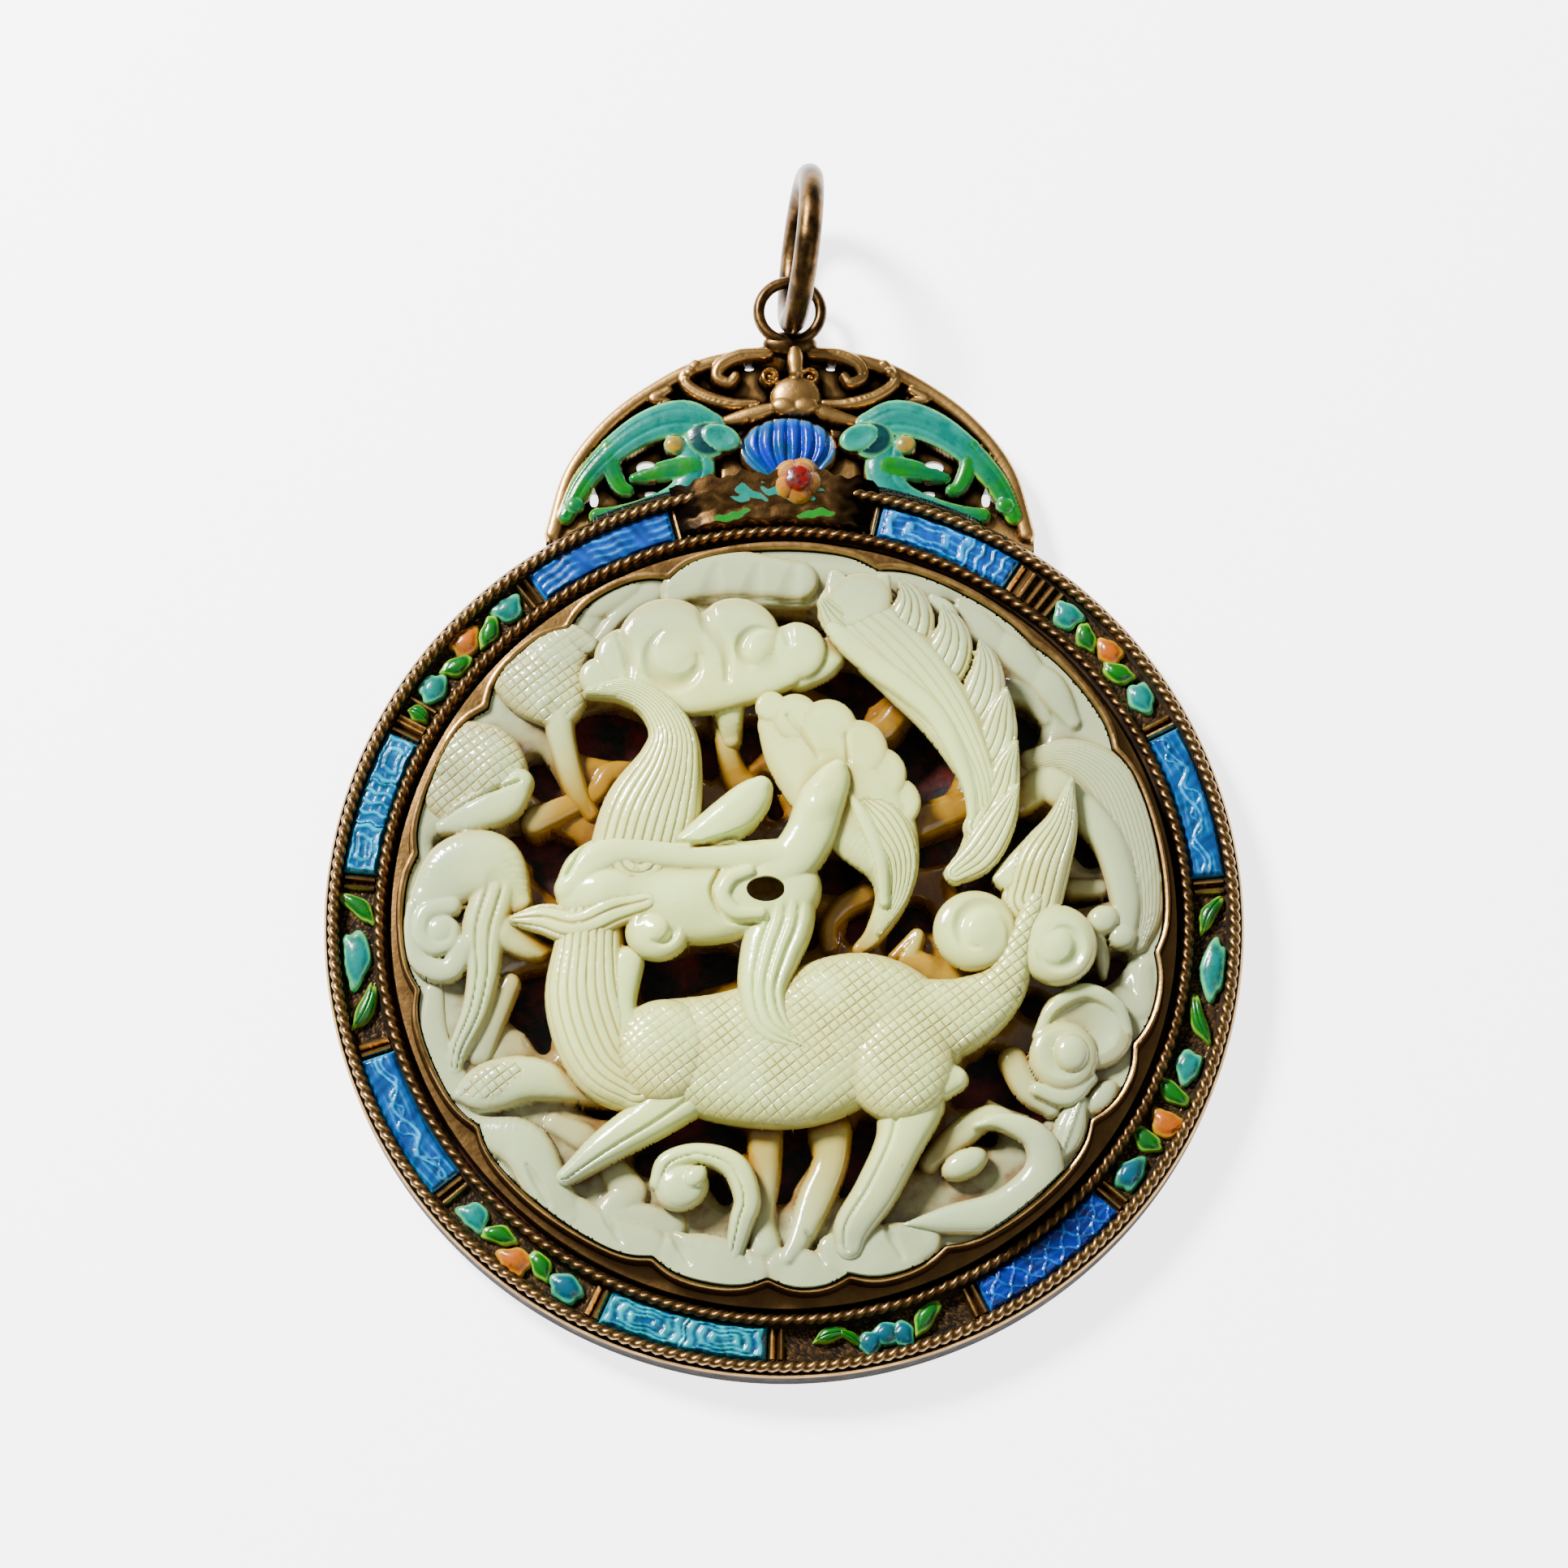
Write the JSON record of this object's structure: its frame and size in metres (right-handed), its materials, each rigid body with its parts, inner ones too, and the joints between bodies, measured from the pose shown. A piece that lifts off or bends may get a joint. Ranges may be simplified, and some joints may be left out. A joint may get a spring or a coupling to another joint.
{
  "type": "framed jade plaque pendant",
  "caption": "Round openwork jade carving of a walking beast among clouds, set in an enamelled silver frame with a pierced crest and a hanging ring.",
  "frame": {"origin": "centre of the back plate's underside, on the surface that the pendant lies on", "axes": "+Z out of the carved face, +Y from the plaque's centre towards the hanging ring, +X to the right"},
  "size_m": [0.076, 0.1026, 0.0144],
  "materials": {
    "pale_jade": "polished",
    "gilt_silver": "aged satin",
    "worn_gold_edge": "worn",
    "tarnished_silver": "tarnished",
    "blue_enamel": "gloss",
    "turquoise_enamel": "gloss",
    "green_enamel": "gloss",
    "orange_enamel": "gloss"
  },
  "bodies": {
    "root": {"jade_plaque": "pale_jade", "back_plate": "tarnished_silver", "frame": "gilt_silver", "outer_rope": "gilt_silver", "inner_rope": "gilt_silver", "bezel": "worn_gold_edge", "crest": "gilt_silver", "eye": "gilt_silver", "jump_ring": "gilt_silver"}
  },
  "joints": []
}
